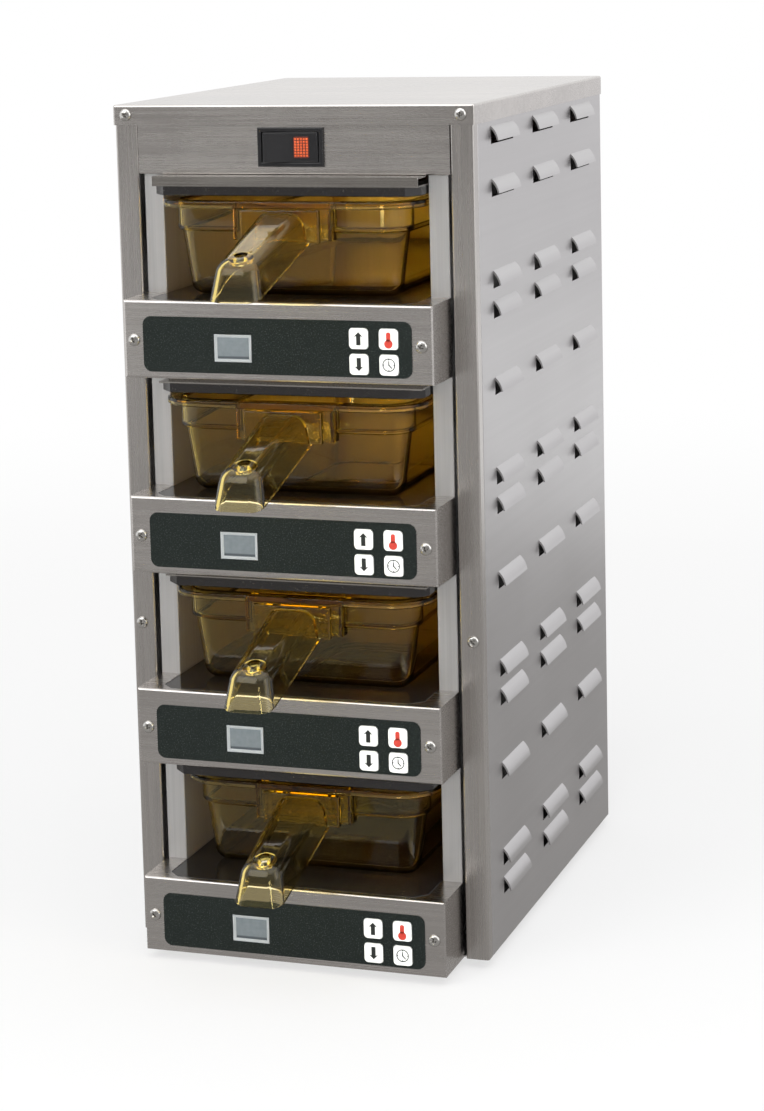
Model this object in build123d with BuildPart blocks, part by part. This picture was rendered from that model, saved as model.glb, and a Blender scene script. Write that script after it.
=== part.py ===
from build123d import *
from math import atan2, degrees
import os

# Countertop heated holding cabinet, one pan wide and four high, in millimetres.
# The origin is on the surface it stands on, under the middle of the whole object.
# X runs to the right, Y to the back and Z up, for someone who faces the pans.
os.makedirs("parts", exist_ok=True)

# Cabinet: 9 1/2 x 12 1/2 x 21 3/4 inches without feet, slots at a 5 inch pitch
WIDTH = 241.3
DEPTH = 317.5
HEIGHT = 552.5
SLOTS = 4
PITCH = 127.0
SHEET = 1.0
BEND = 1.6
BASE = 6.0
COVER_FLANGE = 12.0
POST_WIDTH = 15.5
POST_OUTER_RETURN = 8.0
POST_INNER_RETURN = 12.0
PANEL_GAP = 1.0
PANEL_FRONT_RETURN = 9.0
PANEL_REAR_RETURN = 13.0
BASE_WALL = 15.0
HEADER_RETURN = 15.0

# Control bezels, which stand forward of the posts
BEZEL_HALF = 103.15
BEZEL_HEIGHT = 50.0
BEZEL_REACH = 37.5
OVERLAY = (179.6, 35.5)
OVERLAY_THICK = 0.5
OVERLAY_BELOW = 27.75
DISPLAY = (25.0, 17.4)
DISPLAY_AT = (-28.7, -29.3)
BUTTON = (12.5, 13.0)
BUTTON_COLUMNS = (55.2, 74.8)
BUTTON_ROWS = (-21.1, -37.3)
BUTTON_PROUD = 0.6
BUTTON_PLAY = 0.3
BUTTON_FLANGE = 0.9
KEY_SWITCH_DEPTH = 3.4
BOARD_DEPTH = 7.0

# Slots, and the heated plates above and below each pan
LINER_HALF = 89.6
STRIP_WIDTH = 13.2
STRIP_SETBACK = 3.0
PLATE_HALF = 89.0
PLATE_THICK = 5.7
PLATE_CHAMFER = 8.0
FLOOR_PLATE_REACH = 32.5
CEILING_PLATE_REACH = 18.0
CEILING_ABOVE = 65.0
REAR_LINER = 312.5

# Pan: 325 x 176 mm outside its rim, which is a third-size food pan
PAN_LENGTH = 325.0
PAN_WIDTH = 176.0
PAN_HEIGHT = 61.5
PAN_WALL = 2.5
PAN_STEP = 41.5
PAN_TAPER = 8.0
PAN_LIFT = 0.3
PAN_FRONTS = (-23.0, -28.0, -22.0, -14.0)
PAN_RIM_CORNER = 28.0
PAN_SHOULDER = 8.5
PAN_CORNER = 24.0
PAN_STEP_IN = 3.0
PAN_FLOOR_FILLET = 9.0
RIM_DEPTH = 4.5
RIM_BEAD = 2.5
RIM_GROOVE = 2.2

# Pan handle: half widths, and heights above the pan's underside
HANDLE_LENGTH = 86.0
HANDLE_HALF = 15.5
HANDLE_NARROWING = 3.0
HANDLE_LEAN = 0.16
HANDLE_TOP = (55.7, 32.7)
HANDLE_BOTTOM = (35.5, 8.8)
HANDLE_NOSE = 5.0
HANDLE_CROWN = 4.0
BOSS_HALF = 33.0
BOSS_DEPTH = 14.0
BOSS_BOTTOM = 37.0
WING_HALF = 26.0
WING_HEIGHTS = (36.0, 56.5)
WING_REACH = 3.0
HANG_HOLE = 4.2
HANG_COLLAR = 7.0
HANG_FROM_END = 17.0

# Louvres, in three columns on each side
LOUVRE_LENGTH = 51.0
LOUVRE_HEIGHT = 10.5
LOUVRE_REACH = 5.0
LOUVRE_SLIT = 2.2
LOUVRE_COLUMNS = (37.5, 135.3, 233.1)
LOUVRE_OFFSETS = (32.5, 51.8, 110.2)
LAST_LOUVRE = 524.7

# Main switch
SWITCH = (44.3, 25.0)
SWITCH_BODY = (40.0, 21.8)
SWITCH_WELL = (38.0, 19.6)
SWITCH_BEZEL = 2.0
SWITCH_DEPTH = 20.0
WELL_DEPTH = 15.0
TERMINAL = (0.8, 6.3, 8.0)
SWITCH_HEIGHT = 525.5
ROCKER_HALF = 17.8
ROCKER_RISE = 2.4
ROCKER_PIVOT = 3.0
ROCKER_PIN = 1.9
ROCKER_WIDTH = 18.9
ROCKER_LIFT = 0.2
LENS = (10.5, 13.5)
LENS_FROM_MIDDLE = 7.0
LENS_DEPTH = 1.2
LENS_PROUD = 0.3

# Screws, feet and the cord gland
SCREW_HEAD = 4.0
SCREW_HEAD_HEIGHT = 2.2
SCREW_CROWN = 1.4
SCREW_SHANK = 1.9
SCREW_LENGTH = 6.0
SCREW_HOLE = 2.2
FOOT_AT = (98.0, 35.0)
FOOT_RADIUS = 11.0
STEM_RADIUS = 3.5
GLAND_X = 98.6
GLAND_ABOVE = 60.0
GLAND_BORE = 4.2
GLAND_THREAD = 6.0
GLAND_REACH = 22.0

# Places worked out from the sizes above
HALF = WIDTH / 2
TOP = BASE + HEIGHT
FRONT = (HANDLE_LENGTH - min(PAN_FRONTS) - DEPTH - GLAND_REACH) / 2
BACK = FRONT + DEPTH
FACE = FRONT - BEZEL_REACH
REAR = FRONT + REAR_LINER
INNER = HALF - SHEET
POST_INNER = HALF - POST_WIDTH
SLOT_NUMBERS = range(1, SLOTS + 1)
SLOT_CLEAR = PITCH - BEZEL_HEIGHT
CEILING_TOP = CEILING_ABOVE + PLATE_THICK


def floor_of(slot):
    """Height of a slot's floor, which is the top of its bezel. Slot 1 is the highest."""
    return BASE + (SLOTS - slot) * PITCH + BEZEL_HEIGHT


HEADER_BOTTOM = floor_of(1) + SLOT_CLEAR


def block(x, y, z, mode=Mode.ADD):
    """A box in the part being built, from its limits along each axis."""
    with Locations((x[0], y[0], z[0])):
        Box(x[1] - x[0], y[1] - y[0], z[1] - z[0], align=(Align.MIN,) * 3, mode=mode)


def front_plane(y):
    """A vertical plane across the cabinet, seen from the front."""
    return Plane(origin=(0, y, 0), x_dir=(1, 0, 0), z_dir=(0, -1, 0))


def screw_holes(places, y):
    """Clearance holes through the sheet at y, in the part being built."""
    with BuildSketch(front_plane(y - SHEET)) as holes:
        with Locations(*places):
            Circle(SCREW_HOLE)
    extrude(holes.sketch, amount=-3 * SHEET, mode=Mode.SUBTRACT)


def save(part, name):
    """Labels a finished piece and writes it."""
    part.label = name
    export_step(part, f"parts/{name}.step")


# Places of the pan-head screws, as X and Z
POST_SCREW = (HALF - 6.5, BASE + 211.0)
COVER_SCREW = (HALF - 8.0, TOP - 6.5)
BEZEL_SCREW = (96.0, -25.5)
BACK_SCREWS = [(s * (HALF - 7.0), BASE + z) for s in (-1, 1) for z in (20.0, 190.0, 360.0, 530.0)]

# Top cover: a tray lid whose flange is turned down over the posts and panels
with BuildPart() as top_cover:
    block(
        (-HALF - SHEET, HALF + SHEET),
        (FRONT - SHEET, BACK + SHEET),
        (TOP - SHEET - COVER_FLANGE, TOP),
    )
    fillet(top_cover.edges().filter_by(Axis.Z), BEND)
    fillet(top_cover.faces().sort_by(Axis.Z)[-1].edges(), BEND)
    block((-HALF, HALF), (FRONT, BACK), (TOP - SHEET - COVER_FLANGE, TOP - SHEET), Mode.SUBTRACT)
    cover_places = [(-COVER_SCREW[0], COVER_SCREW[1]), COVER_SCREW]
    screw_holes(cover_places, FRONT)
    screw_holes(cover_places, BACK + SHEET)
save(top_cover.part, "top_cover")

# Side panels: a flat sheet with returns front and back, and louvres lanced outwards
louvre_rows = [BASE + r * PITCH + z for r in range(SLOTS) for z in LOUVRE_OFFSETS]
louvre_rows.append(BASE + LAST_LOUVRE)
with BuildPart() as right_side_panel:
    panel_front = FRONT + POST_OUTER_RETURN + PANEL_GAP
    block((INNER, HALF), (panel_front, BACK - SHEET), (BASE, TOP - SHEET))
    block((HALF - PANEL_FRONT_RETURN, INNER), (panel_front, panel_front + SHEET), (BASE, TOP - SHEET))
    block((HALF - PANEL_REAR_RETURN, INNER), (BACK - 2 * SHEET, BACK - SHEET), (BASE, TOP - SHEET))
    fillet(
        right_side_panel.edges().filter_by(Axis.Z).group_by(Axis.X)[-1].sort_by(Axis.Y)[:1],
        SHEET * 0.9,
    )
    for column in LOUVRE_COLUMNS:
        start = FRONT + column
        for row in louvre_rows:
            block(
                (INNER - SHEET, HALF + SHEET),
                (start, start + LOUVRE_LENGTH),
                (row, row + LOUVRE_HEIGHT),
                Mode.SUBTRACT,
            )
        with BuildSketch(front_plane(start)):
            for row in louvre_rows:
                with BuildLine():
                    outer = ThreePointArc(
                        (HALF, row + LOUVRE_HEIGHT + SHEET),
                        (HALF + 0.76 * LOUVRE_REACH, row + 0.6 * LOUVRE_HEIGHT),
                        (HALF + LOUVRE_REACH, row + LOUVRE_SLIT),
                    )
                    Line(outer @ 1, (HALF + LOUVRE_REACH - SHEET, row + LOUVRE_SLIT))
                    inner = ThreePointArc(
                        (HALF + LOUVRE_REACH - SHEET, row + LOUVRE_SLIT),
                        (HALF + 0.76 * LOUVRE_REACH - SHEET, row + 0.55 * LOUVRE_HEIGHT),
                        (INNER, row + LOUVRE_HEIGHT),
                    )
                    Polyline(
                        inner @ 1,
                        (INNER, row + LOUVRE_HEIGHT + SHEET),
                        (HALF, row + LOUVRE_HEIGHT + SHEET),
                    )
                make_face()
        extrude(amount=-LOUVRE_LENGTH)
    screw_holes([p for p in BACK_SCREWS if p[0] > 0] + [COVER_SCREW], BACK - SHEET)
save(right_side_panel.part, "right_side_panel")

with BuildPart() as left_side_panel:
    mirror(right_side_panel.part, about=Plane.YZ)
save(left_side_panel.part, "left_side_panel")

# Front posts: folded channels, with a long return towards the slots
with BuildPart() as right_front_post:
    block((POST_INNER, HALF), (FRONT, FRONT + SHEET), (BASE, TOP - SHEET))
    block((INNER, HALF), (FRONT, FRONT + POST_OUTER_RETURN), (BASE, TOP - SHEET))
    block((POST_INNER, POST_INNER + SHEET), (FRONT, FRONT + POST_INNER_RETURN), (BASE, TOP - SHEET))
    front_corners = right_front_post.edges().filter_by(Axis.Z).group_by(Axis.Y)[0]
    fillet(front_corners, BEND)
    screw_holes([POST_SCREW, COVER_SCREW], FRONT)
save(right_front_post.part, "right_front_post")

with BuildPart() as left_front_post:
    mirror(right_front_post.part, about=Plane.YZ)
save(left_front_post.part, "left_front_post")

# Header panel over the top slot, with the cut-out for the main switch
with BuildPart() as header_panel:
    header_x = (-POST_INNER + 0.2, POST_INNER - 0.2)
    block(header_x, (FRONT, FRONT + SHEET), (HEADER_BOTTOM, TOP - SHEET))
    block(header_x, (FRONT, FRONT + HEADER_RETURN), (HEADER_BOTTOM, HEADER_BOTTOM + SHEET))
    fillet(header_panel.edges().filter_by(Axis.X).group_by(Axis.Z)[0].sort_by(Axis.Y)[0], SHEET * 0.9)
    with BuildSketch(front_plane(FRONT)):
        with Locations((0, BASE + SWITCH_HEIGHT)):
            Rectangle(SWITCH_BODY[0] + 0.4, SWITCH_BODY[1] + 0.4)
    extrude(amount=-SHEET, mode=Mode.SUBTRACT)
save(header_panel.part, "header_panel")

# Side liners: the walls of the slots, with the bright strips as their front flanges
with BuildPart() as right_side_liner:
    strip_front = FRONT + STRIP_SETBACK
    block((LINER_HALF, LINER_HALF + SHEET), (strip_front, REAR), (BASE + SHEET, HEADER_BOTTOM))
    block(
        (LINER_HALF, LINER_HALF + STRIP_WIDTH),
        (strip_front, strip_front + SHEET),
        (BASE + SHEET, HEADER_BOTTOM),
    )
    strip_edges = right_side_liner.edges().filter_by(Axis.Z).group_by(Axis.Y)[0]
    fillet(strip_edges, SHEET * 0.8)
save(right_side_liner.part, "right_side_liner")

with BuildPart() as left_side_liner:
    mirror(right_side_liner.part, about=Plane.YZ)
save(left_side_liner.part, "left_side_liner")

# Rear liner, which closes all four slots at the back
with BuildPart() as rear_liner:
    liner_outer = LINER_HALF + SHEET
    block((-liner_outer, liner_outer), (REAR, REAR + SHEET), (BASE + SHEET, HEADER_BOTTOM))
save(rear_liner.part, "rear_liner")

# Back panel, screwed to the returns of the side panels, with the hole for the gland
with BuildPart() as back_panel:
    block((-HALF, HALF), (BACK - SHEET, BACK), (BASE, TOP - SHEET))
    cover_holes = [(s * COVER_SCREW[0], COVER_SCREW[1]) for s in (-1, 1)]
    screw_holes(BACK_SCREWS + cover_holes, BACK - SHEET)
    with BuildSketch(front_plane(BACK - SHEET)):
        with Locations((GLAND_X, BASE + GLAND_ABOVE)):
            Circle(GLAND_THREAD + 0.2)
    extrude(amount=-SHEET, mode=Mode.SUBTRACT)
save(back_panel.part, "back_panel")

# Base pan, with its sides turned up inside the panels and its front corners notched for the posts
with BuildPart() as base_pan:
    tray_front = FRONT + STRIP_SETBACK
    block((-INNER, INNER), (tray_front, BACK - 2 * SHEET), (BASE, BASE + SHEET))
    for side in (-1, 1):
        wall = sorted((side * INNER, side * (INNER - SHEET)))
        block(wall, (tray_front, BACK - 2 * SHEET), (BASE, BASE + BASE_WALL))
        notch = sorted((side * HALF, side * (POST_INNER - 1.0)))
        block(notch, (tray_front, FRONT + POST_INNER_RETURN + 1.0), (BASE, BASE + BASE_WALL), Mode.SUBTRACT)
    with BuildSketch(Plane.XY.offset(BASE)):
        for y in (FRONT + FOOT_AT[1], BACK - FOOT_AT[1]):
            with Locations((-FOOT_AT[0], y), (FOOT_AT[0], y)):
                Circle(STEM_RADIUS + 0.1)
    extrude(amount=SHEET, mode=Mode.SUBTRACT)
save(base_pan.part, "base_pan")

# Feet: tapered rubber pads with a stem through the base pan
with BuildPart() as feet:
    with BuildSketch(Plane.XZ, mode=Mode.PRIVATE) as foot_profile:
        Polygon(
            (0, 0),
            (FOOT_RADIUS - 2.0, 0),
            (FOOT_RADIUS, BASE),
            (STEM_RADIUS, BASE),
            (STEM_RADIUS, BASE + 3.0),
            (0, BASE + 3.0),
            align=None,
        )
    foot = revolve(foot_profile.sketch, axis=Axis.Z, mode=Mode.PRIVATE)
    for y in (FRONT + FOOT_AT[1], BACK - FOOT_AT[1]):
        with Locations((-FOOT_AT[0], y, 0), (FOOT_AT[0], y, 0)):
            add(foot)
save(feet.part, "feet")


def plate_outline(reach, half=PLATE_HALF, rear=REAR - 0.5):
    """Outline of a heated plate from above, with its front corners cut off."""
    front = FRONT - reach
    Polygon(
        (-half + PLATE_CHAMFER, front),
        (half - PLATE_CHAMFER, front),
        (half, front + PLATE_CHAMFER),
        (half, rear),
        (-half, rear),
        (-half, front + PLATE_CHAMFER),
        align=None,
    )


# Heated plates: the pan stands on one and has the other just above its rim
for slot in SLOT_NUMBERS:
    with BuildPart() as floor_plate:
        with BuildSketch(Plane.XY.offset(floor_of(slot) - PLATE_THICK)):
            plate_outline(FLOOR_PLATE_REACH)
        extrude(amount=PLATE_THICK)
        chamfer(floor_plate.faces().sort_by(Axis.Z)[-1].edges(), 0.5)
    save(floor_plate.part, f"floor_plate_{slot}")

    with BuildPart() as ceiling_plate:
        with BuildSketch(Plane.XY.offset(floor_of(slot) + CEILING_ABOVE)):
            plate_outline(CEILING_PLATE_REACH)
        extrude(amount=PLATE_THICK)
        chamfer(ceiling_plate.faces().sort_by(Axis.Z)[0].edges(), 0.5)
    save(ceiling_plate.part, f"ceiling_plate_{slot}")

# Shelf trays: folded boxes between the slots, which carry one slot's floor plate and,
# underneath, the ceiling plate of the slot below. The top one has an apron in full view
with BuildPart() as shelf_trays:
    for slot in range(0, SLOTS + 1):
        upper = floor_of(slot) - PLATE_THICK
        lower = floor_of(slot + 1) + CEILING_TOP
        apron_top = floor_of(slot + 1) + SLOT_CLEAR
        web_front = FRONT + STRIP_SETBACK + SHEET
        if slot == 0:
            upper = apron_top + 14.0
        if slot == SLOTS:
            lower = BASE + SHEET
        for side in (-1, 1):
            web = sorted((side * LINER_HALF, side * (LINER_HALF - SHEET)))
            web_top = min(upper, HEADER_BOTTOM) if slot == 0 else upper
            block(web, (web_front, REAR), (lower, web_top))
        block((-LINER_HALF, LINER_HALF), (web_front, REAR), (lower, lower + SHEET))
        block((-LINER_HALF, LINER_HALF), (REAR - SHEET, REAR), (lower, web_top))
        if slot > 0:
            block((-PLATE_HALF, PLATE_HALF), (FACE + 8.0, REAR), (upper - SHEET, upper))
        if slot < SLOTS:
            apron = FRONT - CEILING_PLATE_REACH + 1.0
            riser = apron if slot == 0 else FRONT - SHEET
            block((-PLATE_HALF, PLATE_HALF), (apron, web_front), (lower, lower + SHEET))
            block((-PLATE_HALF, PLATE_HALF), (riser, riser + SHEET), (lower, apron_top))
            block((-PLATE_HALF, PLATE_HALF), (riser, FRONT), (apron_top - SHEET, apron_top))
save(shelf_trays.part, "shelf_trays")

# Foil heater mats, stuck inside the trays behind the heated plates
MAT_THICK = 1.2
MAT_MARGIN = 14.0
with BuildPart() as heater_mats:
    mat_x = (-LINER_HALF + MAT_MARGIN, LINER_HALF - MAT_MARGIN)
    mat_y = (FRONT + STRIP_SETBACK + MAT_MARGIN, REAR - MAT_MARGIN)
    for slot in SLOT_NUMBERS:
        under_floor = floor_of(slot) - PLATE_THICK - SHEET
        over_ceiling = floor_of(slot) + CEILING_TOP + SHEET
        block(mat_x, mat_y, (under_floor - MAT_THICK, under_floor))
        block(mat_x, mat_y, (over_ceiling, over_ceiling + MAT_THICK))
save(heater_mats.part, "heater_mats")

# Control bezels: folded boxes, open at the back, with the floor plate let into the top
button_places = [(x, z) for z in BUTTON_ROWS for x in BUTTON_COLUMNS]
button_names = ("button_up", "button_temperature", "button_down", "button_time")
for slot in SLOT_NUMBERS:
    level = floor_of(slot)
    with BuildPart() as bezel:
        block(
            (-BEZEL_HALF, BEZEL_HALF),
            (FACE, FRONT + STRIP_SETBACK),
            (level - BEZEL_HEIGHT, level),
        )
        fillet(bezel.faces().sort_by(Axis.Y)[0].edges(), BEND)
        block(
            (-BEZEL_HALF + SHEET, BEZEL_HALF - SHEET),
            (FACE + SHEET, FRONT + STRIP_SETBACK),
            (level - BEZEL_HEIGHT + SHEET, level - SHEET),
            Mode.SUBTRACT,
        )
        with BuildSketch(Plane.XY.offset(level - SHEET)):
            plate_outline(FLOOR_PLATE_REACH + 0.2, PLATE_HALF + 0.2, FRONT + STRIP_SETBACK)
        extrude(amount=SHEET, mode=Mode.SUBTRACT)
        with BuildSketch(front_plane(FACE)):
            with Locations(*[(x, level + z) for x, z in button_places]):
                RectangleRounded(BUTTON[0] + 2 * BUTTON_PLAY, BUTTON[1] + 2 * BUTTON_PLAY, 2.7)
            with Locations((DISPLAY_AT[0], level + DISPLAY_AT[1])):
                Rectangle(DISPLAY[0] + 0.4, DISPLAY[1] + 0.4)
        extrude(amount=-SHEET, mode=Mode.SUBTRACT)
        screw_holes([(s * BEZEL_SCREW[0], level + BEZEL_SCREW[1]) for s in (-1, 1)], FACE)
    save(bezel.part, f"bezel_{slot}")

    with BuildPart() as overlay:
        with BuildSketch(front_plane(FACE)):
            with Locations((0, level - OVERLAY_BELOW)):
                RectangleRounded(*OVERLAY, 5.5)
            with Locations(*[(x, level + z) for x, z in button_places]):
                RectangleRounded(
                    BUTTON[0] + 2 * BUTTON_PLAY, BUTTON[1] + 2 * BUTTON_PLAY, 2.7, mode=Mode.SUBTRACT
                )
            with Locations((DISPLAY_AT[0], level + DISPLAY_AT[1])):
                Rectangle(DISPLAY[0] + 0.4, DISPLAY[1] + 0.4, mode=Mode.SUBTRACT)
        extrude(amount=OVERLAY_THICK)
    save(overlay.part, f"control_overlay_{slot}")

    # Display: a module on the board, with its glass set back in a raised frame
    with BuildPart() as display:
        with BuildSketch(front_plane(FACE - OVERLAY_THICK - 0.2)):
            with Locations((DISPLAY_AT[0], level + DISPLAY_AT[1])):
                Rectangle(*DISPLAY)
        extrude(amount=-(BOARD_DEPTH + OVERLAY_THICK + 0.2))
        with BuildSketch(front_plane(FACE - OVERLAY_THICK - 0.2)):
            with Locations((DISPLAY_AT[0], level + DISPLAY_AT[1])):
                Rectangle(DISPLAY[0] - 2.6, DISPLAY[1] - 2.6)
        extrude(amount=-0.9, mode=Mode.SUBTRACT)
    save(display.part, f"display_{slot}")

    # Buttons: a cap through the bezel, kept in by a flange behind the sheet
    for (x, z), name in zip(button_places, button_names):
        cap_front = FACE - OVERLAY_THICK - BUTTON_PROUD
        flange_front = FACE + SHEET + BUTTON_PLAY
        with BuildPart() as button:
            with BuildSketch(front_plane(cap_front)):
                with Locations((x, level + z)):
                    RectangleRounded(*BUTTON, 2.4)
            extrude(amount=-(flange_front - cap_front))
            chamfer(button.faces().sort_by(Axis.Y)[0].edges(), 0.3)
            with BuildSketch(front_plane(flange_front)):
                with Locations((x, level + z)):
                    Rectangle(BUTTON[0] + 1.8, BUTTON[1] + 1.8)
            extrude(amount=-BUTTON_FLANGE)
        save(button.part, f"{name}_{slot}")

# Control boards: one behind each bezel, on four posts, with a key switch behind each button
BOARD_THICK = 1.6
with BuildPart() as control_boards:
    board_front = FACE + BOARD_DEPTH
    for slot in SLOT_NUMBERS:
        level = floor_of(slot)
        block((-78.0, 89.0), (board_front, board_front + BOARD_THICK), (level - 46.0, level - 9.0))
        with BuildSketch(front_plane(board_front)):
            with Locations(*[(x, level + z) for x, z in button_places]):
                Rectangle(6.0, 6.0)
        extrude(amount=BOARD_DEPTH - KEY_SWITCH_DEPTH)
        with BuildSketch(front_plane(board_front)):
            with Locations(*[(x, level + z) for x in (-74.0, 86.0) for z in (-42.0, -13.0)]):
                Circle(2.5)
        extrude(amount=BOARD_DEPTH - SHEET)
        block((-60.0, -36.0), (board_front, board_front + 16.0), (level - 40.0, level - 20.0))
        block((0.0, 14.0), (board_front, board_front + 4.0), (level - 34.0, level - 20.0))
save(control_boards.part, "control_boards")


# Pans: moulded amber plastic with a stepped, tapered body, a rim with a turned-down bead,
# and a hollow handle that is open underneath
def pan_body(inset, floor, step):
    """The pan's body as a closed form, shrunk by the wall for its inside."""
    margin = 2 * (PAN_SHOULDER + inset)
    width, length = PAN_WIDTH - margin, PAN_LENGTH - margin
    with BuildSketch(Plane.XY.offset(step)) as upper:
        with Locations((0, PAN_LENGTH / 2)):
            RectangleRounded(width, length, PAN_CORNER - inset)
    extrude(upper.sketch, amount=PAN_HEIGHT - step)
    with BuildSketch(Plane.XY.offset(step)) as lower:
        with Locations((0, PAN_LENGTH / 2)):
            RectangleRounded(width - 2 * PAN_STEP_IN, length - 2 * PAN_STEP_IN, PAN_CORNER - 2.0 - inset)
    extrude(lower.sketch, amount=-(step - floor), taper=PAN_TAPER)


def handle_half(inset, root):
    """The right half of the handle, whose top falls and narrows towards its rounded end."""
    end = -HANDLE_LENGTH + inset
    below = 6.0 if inset else 0.0
    with BuildSketch(Plane.YZ) as side_view:
        Polygon(
            (root, HANDLE_TOP[0] - inset),
            (end + HANDLE_NOSE, HANDLE_TOP[1] - inset),
            (end, HANDLE_BOTTOM[1] - below),
            (root, HANDLE_BOTTOM[0] - below),
            align=None,
        )
        fillet(side_view.vertices().sort_by(Axis.X)[1], HANDLE_NOSE - inset)
    extrude(side_view.sketch, amount=2 * HANDLE_HALF)
    lean = Vector(HANDLE_LEAN, 0, -1)
    along = Vector(HANDLE_NARROWING, HANDLE_LENGTH, HANDLE_TOP[0] - HANDLE_TOP[1])
    side = Plane(origin=(HANDLE_HALF - inset, -3.0, HANDLE_TOP[0]), z_dir=along.cross(lean) * -1)
    half = split(bisect_by=side, keep=Keep.BOTTOM)
    side_face = half.faces().sort_by(Axis.X)[-1]
    root_face = half.faces().sort_by(Axis.Y)[-1]
    underside = half.faces().sort_by(lambda face: face.normal_at().Z)[0]
    fillet(side_face.edges() - root_face.edges() - underside.edges(), HANDLE_CROWN - inset)


with BuildPart() as pan_outside:
    pan_body(0.0, 0.0, PAN_STEP)
    fillet(pan_outside.faces().sort_by(Axis.Z)[0].edges(), PAN_FLOOR_FILLET)
with BuildPart() as pan_inside:
    pan_body(PAN_WALL, PAN_WALL, PAN_STEP + PAN_WALL)
    fillet(pan_inside.faces().sort_by(Axis.Z)[0].edges(), PAN_FLOOR_FILLET - PAN_WALL)
with BuildPart() as handle_outside:
    handle_half(0.0, 0.0)
    mirror(about=Plane.YZ)
with BuildPart() as handle_inside:
    handle_half(PAN_WALL, -WING_REACH)
    mirror(about=Plane.YZ)

# The hang hole goes through the sloping top near its end, with a collar underneath
fall = Vector(0, -HANDLE_LENGTH + HANDLE_NOSE, HANDLE_TOP[1] - HANDLE_TOP[0])
hole_y = -HANDLE_LENGTH + HANG_FROM_END
handle_top = Plane(
    origin=(0, hole_y, HANDLE_TOP[0] + hole_y * fall.Z / fall.Y),
    x_dir=(1, 0, 0),
    z_dir=Vector(1, 0, 0).cross(fall) * -1,
)
with BuildPart() as pan_moulding:
    add(pan_outside.part)
    with BuildSketch(Plane.XY.offset(PAN_HEIGHT - RIM_DEPTH)):
        with Locations((0, PAN_LENGTH / 2)):
            RectangleRounded(PAN_WIDTH, PAN_LENGTH, PAN_RIM_CORNER)
    extrude(amount=RIM_DEPTH)
    fillet(pan_moulding.faces().sort_by(Axis.Z)[-1].edges(), 1.0)
    with BuildSketch(Plane.XY.offset(PAN_HEIGHT - RIM_DEPTH)):
        groove = 2 * (PAN_SHOULDER + 0.25)
        with Locations((0, PAN_LENGTH / 2)):
            RectangleRounded(
                PAN_WIDTH - 2 * RIM_BEAD, PAN_LENGTH - 2 * RIM_BEAD, PAN_RIM_CORNER - RIM_BEAD
            )
            RectangleRounded(
                PAN_WIDTH - groove, PAN_LENGTH - groove, PAN_CORNER - 0.25, mode=Mode.SUBTRACT
            )
    extrude(amount=RIM_GROOVE, mode=Mode.SUBTRACT)
    block((-BOSS_HALF, BOSS_HALF), (0.5, BOSS_DEPTH), (BOSS_BOTTOM, PAN_HEIGHT - 2.0))
    block(
        (-BOSS_HALF + PAN_WALL, BOSS_HALF - PAN_WALL),
        (PAN_WALL + 0.5, PAN_SHOULDER),
        (BOSS_BOTTOM - 1.0, PAN_HEIGHT - RIM_DEPTH),
        Mode.SUBTRACT,
    )
    block((-WING_HALF, WING_HALF), (-WING_REACH, 0.5), WING_HEIGHTS)
    add(handle_outside.part)
    add(handle_inside.part, mode=Mode.SUBTRACT)
    add(pan_inside.part, mode=Mode.SUBTRACT)
    with BuildSketch(handle_top.offset(-PAN_WALL / 2)) as collar:
        Circle(HANG_COLLAR)
    extrude(collar.sketch, amount=-1.5 * PAN_WALL)
    with BuildSketch(handle_top.offset(PAN_WALL)) as hang_hole:
        Circle(HANG_HOLE)
    extrude(hang_hole.sketch, amount=-4 * PAN_WALL, mode=Mode.SUBTRACT)

for slot, front in zip(SLOT_NUMBERS, PAN_FRONTS):
    with BuildPart() as pan:
        with Locations((0, FRONT + front, floor_of(slot) + PAN_LIFT)):
            add(pan_moulding.part)
    save(pan.part, f"pan_{slot}")

# Main switch: a housing in the header, and a key that rocks about an upright axis in it
ROCKER_TILT = degrees(atan2(ROCKER_RISE, ROCKER_HALF))
rocker_front = FRONT - SWITCH_BEZEL - ROCKER_LIFT
switch_z = BASE + SWITCH_HEIGHT
with BuildPart() as switch_housing:
    with BuildSketch(front_plane(FRONT - SWITCH_BEZEL)):
        with Locations((0, switch_z)):
            RectangleRounded(*SWITCH, 1.5)
    extrude(amount=-SWITCH_BEZEL)
    chamfer(switch_housing.faces().sort_by(Axis.Y)[0].edges(), 0.6)
    with BuildSketch(front_plane(FRONT)):
        with Locations((0, switch_z)):
            Rectangle(*SWITCH_BODY)
    extrude(amount=-SWITCH_DEPTH)
    with BuildSketch(front_plane(FRONT - SWITCH_BEZEL)):
        with Locations((0, switch_z)):
            Rectangle(*SWITCH_WELL)
    extrude(amount=-WELL_DEPTH, mode=Mode.SUBTRACT)
    with Locations((0, FRONT + ROCKER_PIVOT, switch_z)):
        Cylinder(ROCKER_PIN + 0.05, SWITCH_BODY[1] - 0.6, mode=Mode.SUBTRACT)
    with BuildSketch(front_plane(FRONT + SWITCH_DEPTH)):
        with Locations((-12.0, switch_z), (0, switch_z), (12.0, switch_z)):
            Rectangle(*TERMINAL[:2])
    extrude(amount=-TERMINAL[2])
save(switch_housing.part, "switch_housing")

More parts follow.
